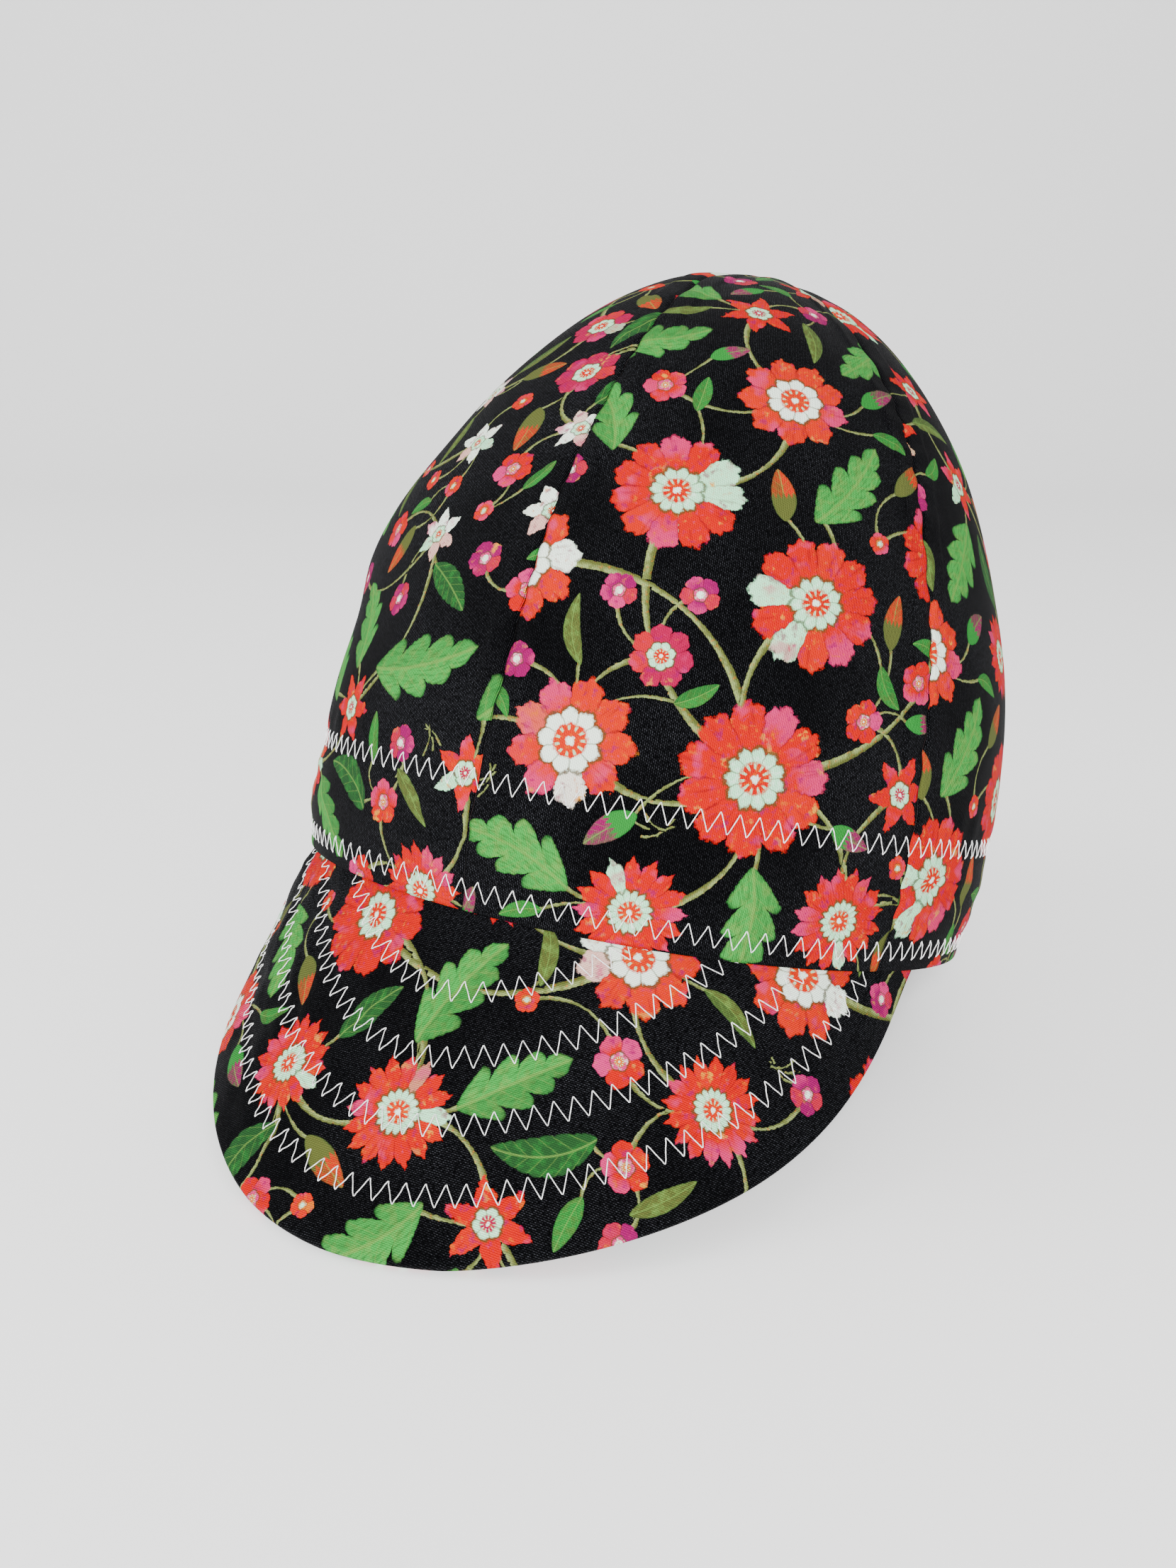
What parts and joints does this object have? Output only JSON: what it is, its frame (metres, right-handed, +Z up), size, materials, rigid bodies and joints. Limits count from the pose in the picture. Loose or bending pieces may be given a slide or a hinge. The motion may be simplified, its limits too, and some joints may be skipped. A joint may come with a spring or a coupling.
{
  "type": "welding cap",
  "caption": "Soft cotton welding cap with a tall panelled crown, a padded zigzag-stitched brim and an inner sweatband.",
  "frame": {"origin": "middle of the base, on the surface that the cap stands on", "axes": "the brim points to -Y, the wearer's left is +X, +Z is up"},
  "size_m": [0.1892, 0.2484, 0.1923],
  "materials": {
    "printed_cotton": "matt woven cotton, printed with flowers on black",
    "plain_cotton": "matt woven cotton"
  },
  "bodies": {
    "root": {"panel_front_left": "printed_cotton", "panel_front_right": "printed_cotton", "panel_side_left": "printed_cotton", "panel_side_right": "printed_cotton", "panel_back_left": "printed_cotton", "panel_back_right": "printed_cotton", "brim": "printed_cotton", "sweatband": "plain_cotton"}
  },
  "joints": []
}
